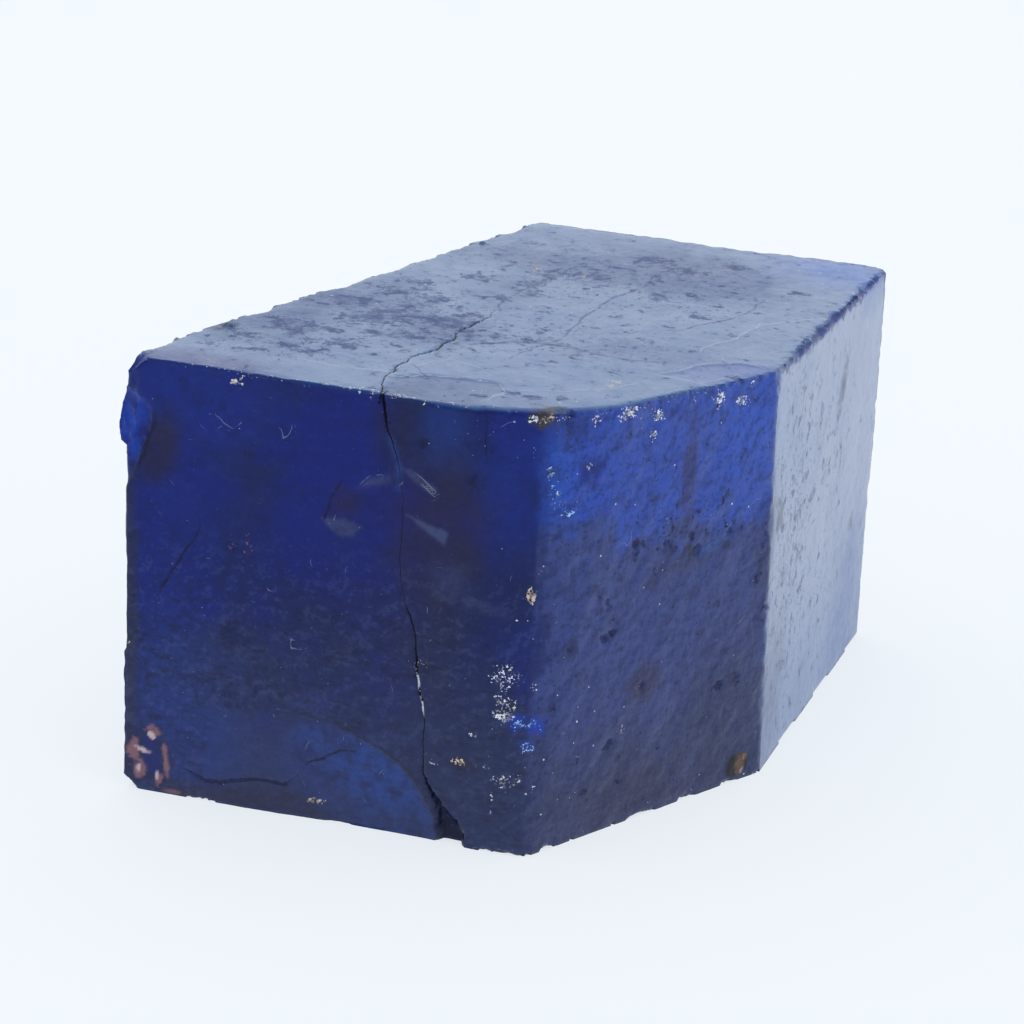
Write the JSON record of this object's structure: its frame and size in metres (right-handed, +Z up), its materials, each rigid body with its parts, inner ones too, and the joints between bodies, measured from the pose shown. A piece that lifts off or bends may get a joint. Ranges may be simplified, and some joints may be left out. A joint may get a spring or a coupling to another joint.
{
  "type": "rough tanzanite crystal block",
  "caption": "Rough violet-blue tanzanite sawn to a block with a cut corner, a rounded prow, chipped edges and an open crack.",
  "frame": {"origin": "middle of the flat sawn base the stone rests on", "axes": "+Z up, square to the base; +Y along the long side, from the front face with the crack to the back; +X to the right, towards the long right side"},
  "size_m": [0.0279, 0.0328, 0.0204],
  "materials": {
    "tanzanite": "sawn and unpolished, satin sheen, violet blue with pale dust and dark pits"
  },
  "bodies": {
    "root": {"tanzanite_block": "tanzanite"}
  },
  "joints": []
}
